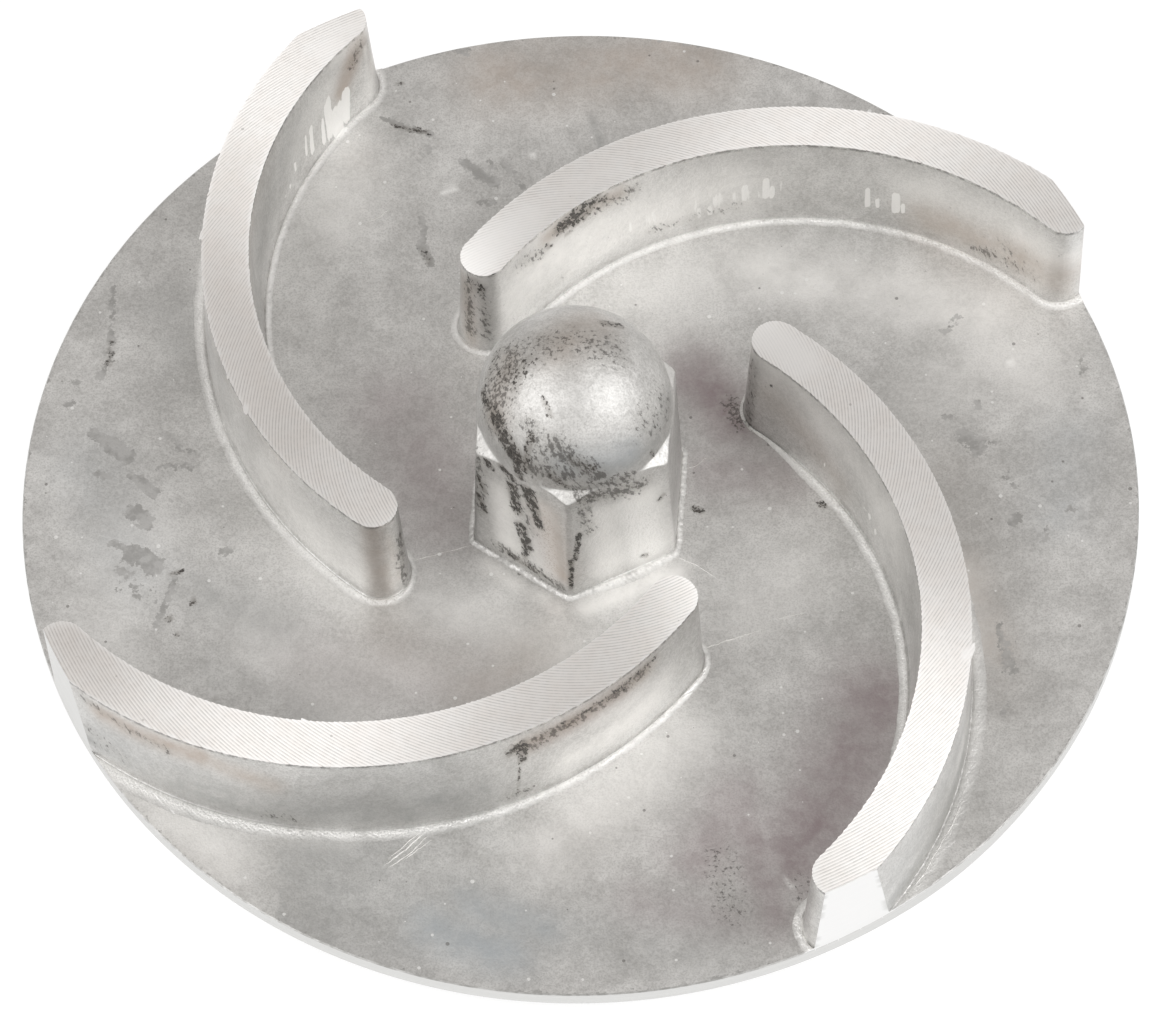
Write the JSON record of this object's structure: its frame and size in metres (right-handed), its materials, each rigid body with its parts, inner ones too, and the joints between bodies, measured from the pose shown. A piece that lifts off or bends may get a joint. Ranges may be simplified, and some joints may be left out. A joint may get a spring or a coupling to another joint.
{
  "type": "water pump impeller",
  "caption": "Open centrifugal pump impeller cast in one piece: a round dished plate with curved vanes round a hexagonal hub with a domed nose.",
  "frame": {"origin": "on the shaft axis, at the flat back of the casting that it lies on", "axes": "+Z along the shaft axis from the back towards the domed nose; seen from the nose each vane sweeps clockwise outwards"},
  "size_m": [0.14, 0.14, 0.0377],
  "materials": {
    "cast_aluminium": "as cast, with a turned rim and turned vane tops"
  },
  "bodies": {
    "root": {"impeller_casting": "cast_aluminium"}
  },
  "joints": []
}
